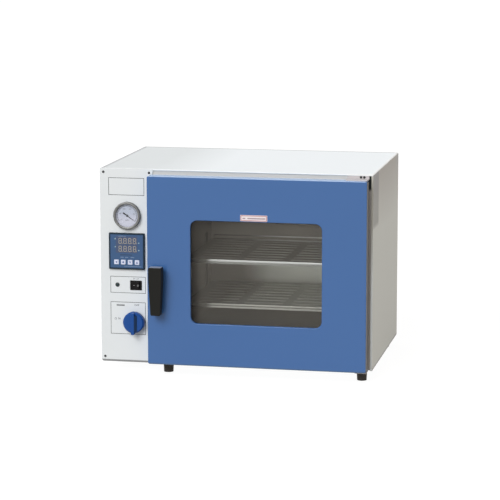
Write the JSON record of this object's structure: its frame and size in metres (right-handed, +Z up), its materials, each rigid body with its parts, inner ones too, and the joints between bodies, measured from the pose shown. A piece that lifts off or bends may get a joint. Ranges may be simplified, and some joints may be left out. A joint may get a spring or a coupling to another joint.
{
  "type": "vacuum drying oven",
  "caption": "Benchtop vacuum drying oven: windowed door hinged at the right, control bay with gauge, controller, switch and valve knob at the left, shelves inside.",
  "frame": {"origin": "on the table under the middle of the whole object's box", "axes": "+X to the right seen from the front, +Y from the door to the back, +Z up"},
  "size_m": [0.72, 0.5879, 0.54],
  "materials": {
    "white_paint": "smooth satin enamel",
    "galvanised": "plain zinc-coated sheet",
    "blue_paint": "smooth satin enamel",
    "stainless": "fine brushed grain",
    "bracket_steel": "bright plated plate",
    "silicone": "matt heat-proof rubber",
    "glass_wool": "loose fibre",
    "heater": "flat clad plate",
    "clear_glass": "clear polished",
    "lens_glass": "clear polished",
    "steel_screw": "plated",
    "bush_bronze": "turned",
    "shaft_steel": "turned",
    "black_plastic": "fine-grained moulded",
    "gauge_rim": "satin plated rim",
    "gauge_case": "black enamel",
    "gauge_dial": "white matt enamel",
    "needle_black": "black",
    "control_black": "moulded",
    "control_face": "printed film",
    "display": "tinted window",
    "board": "circuit board",
    "key_pale": "soft-touch",
    "switch_black": "moulded",
    "lamp_green": "tinted lens",
    "knob_blue": "moulded",
    "brass": "machined",
    "copper_pipe": "drawn tube",
    "nozzle_steel": "turned",
    "inlet_black": "moulded",
    "foot_rubber": "matt moulded",
    "plate_pale": "thin printed plate"
  },
  "bodies": {
    "cabinet": {"outer_casing": "white_paint", "control_panel": "white_paint", "front_frame": "white_paint", "base_pan": "galvanised", "rear_panel": "white_paint", "bay_partition": "galvanised", "chamber": "stainless", "chamber_seal": "silicone", "insulation": "glass_wool", "heater_plates": "heater", "chamber_rails": "galvanised", "shelf_rack_left": "stainless", "shelf_rack_right": "stainless", "shelf_lower": "stainless", "shelf_upper": "stainless", "temperature_probe": "stainless", "hinge_brackets": "bracket_steel", "hinge_screws": "steel_screw", "latch_striker": "galvanised", "gauge_case": "gauge_case", "gauge_bezel": "gauge_rim", "gauge_dial": "gauge_dial", "gauge_lens": "lens_glass", "controller_bezel": "control_black", "controller_case": "control_black", "controller_fascia": "control_face", "display_window": "display", "controller_board": "board", "switch_body": "switch_black", "pilot_lamp": "lamp_green", "valve_body": "brass", "valve_nut": "brass", "vacuum_pipes": "copper_pipe", "gauge_pipe": "copper_pipe", "vacuum_nozzle": "nozzle_steel", "power_inlet": "inlet_black", "fuse_holder": "inlet_black", "power_relay": "inlet_black", "feet": "foot_rubber", "foot_screws": "steel_screw", "panel_screws": "steel_screw"},
    "door": {"door_skin": "blue_paint", "door_inner_frame": "stainless", "door_glass": "clear_glass", "glass_cushion": "silicone", "glass_clamps": "stainless", "window_pane": "clear_glass", "pane_retainer": "galvanised", "door_bushes": "bush_bronze", "label_plate": "plate_pale"},
    "handle": {"door_handle": "black_plastic", "handle_shaft": "shaft_steel", "latch_cam": "shaft_steel"},
    "knob": {"valve_knob": "knob_blue"},
    "rocker": {"switch_rocker": "switch_black"},
    "needle": {"gauge_needle": "needle_black"},
    "key_1": {"key_1": "key_pale"},
    "key_2": {"key_2": "key_pale"},
    "key_3": {"key_3": "key_pale"},
    "key_4": {"key_4": "key_pale"}
  },
  "joints": [
    {"name": "door_hinge", "type": "hinge", "parent": "cabinet", "child": "door", "pos_m": [0.3385, -0.241, 0.2795], "axis": [0, 0, 1], "range_deg": [0, 120]},
    {"name": "handle_turn", "type": "hinge", "parent": "door", "child": "handle", "pos_m": [-0.1967, -0.26, 0.2756], "axis": [0, -1, 0], "range_deg": [0, 90]},
    {"name": "valve_turn", "type": "hinge", "parent": "cabinet", "child": "knob", "pos_m": [-0.269, -0.235, 0.1355], "axis": [0, -1, 0], "range_deg": [-90, 90]},
    {"name": "switch_rock", "type": "hinge", "parent": "cabinet", "child": "rocker", "pos_m": [-0.265, -0.219, 0.2325], "axis": [0, 0, 1], "range_deg": [0, 20]},
    {"name": "needle_swing", "type": "hinge", "parent": "cabinet", "child": "needle", "pos_m": [-0.2865, -0.2255, 0.417], "axis": [0, -1, 0], "range_deg": [0, 250]},
    {"name": "key_1_press", "type": "slide", "parent": "cabinet", "child": "key_1", "axis": [0, 1, 0], "range_m": [0, 0.0006], "stiffness_N_per_m": 300},
    {"name": "key_2_press", "type": "slide", "parent": "cabinet", "child": "key_2", "axis": [0, 1, 0], "range_m": [0, 0.0006], "stiffness_N_per_m": 300},
    {"name": "key_3_press", "type": "slide", "parent": "cabinet", "child": "key_3", "axis": [0, 1, 0], "range_m": [0, 0.0006], "stiffness_N_per_m": 300},
    {"name": "key_4_press", "type": "slide", "parent": "cabinet", "child": "key_4", "axis": [0, 1, 0], "range_m": [0, 0.0006], "stiffness_N_per_m": 300}
  ]
}
